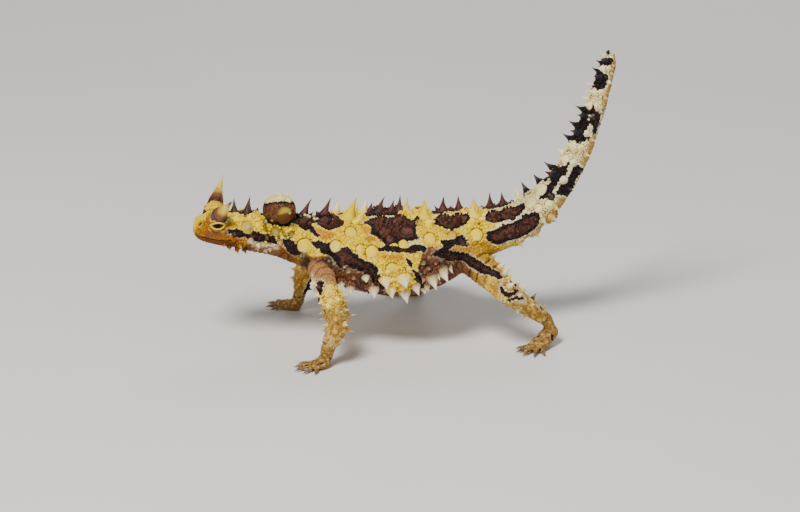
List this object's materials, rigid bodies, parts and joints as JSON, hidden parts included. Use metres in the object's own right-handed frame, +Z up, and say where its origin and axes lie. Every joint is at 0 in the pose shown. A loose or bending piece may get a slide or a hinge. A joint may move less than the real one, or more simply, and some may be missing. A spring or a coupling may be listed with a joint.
{
  "type": "lizard figure",
  "caption": "Life-size still model of a thorny devil lizard, covered in conical spines, walking with its spiny tail raised.",
  "frame": {"origin": "middle of the bounding box, on the plane that the soles stand on", "axes": "-X is the way the head faces, -Y is the lizard's left side, +Z is up"},
  "size_m": [0.1342, 0.0789, 0.0904],
  "materials": {
    "skin": "painted museum model, patches of yellow, russet and black",
    "limb_skin": "painted museum model, tan with cream spines",
    "horn": "satin, cream and ochre",
    "eye": "wet gloss, near black"
  },
  "bodies": {
    "root": {"head": "skin", "neck": "skin", "nuchal_knob": "skin", "torso": "skin", "tail_base": "skin", "tail_fore": "skin", "tail_rear": "skin", "tail_tip": "skin", "horn_left": "horn", "horn_right": "horn", "eye_left": "eye", "eye_right": "eye", "upper_arm_left": "limb_skin", "forearm_left": "limb_skin", "hand_left": "limb_skin", "upper_arm_right": "limb_skin", "forearm_right": "limb_skin", "hand_right": "limb_skin", "thigh_left": "limb_skin", "shank_left": "limb_skin", "foot_left": "limb_skin", "thigh_right": "limb_skin", "shank_right": "limb_skin", "foot_right": "limb_skin"}
  },
  "joints": []
}
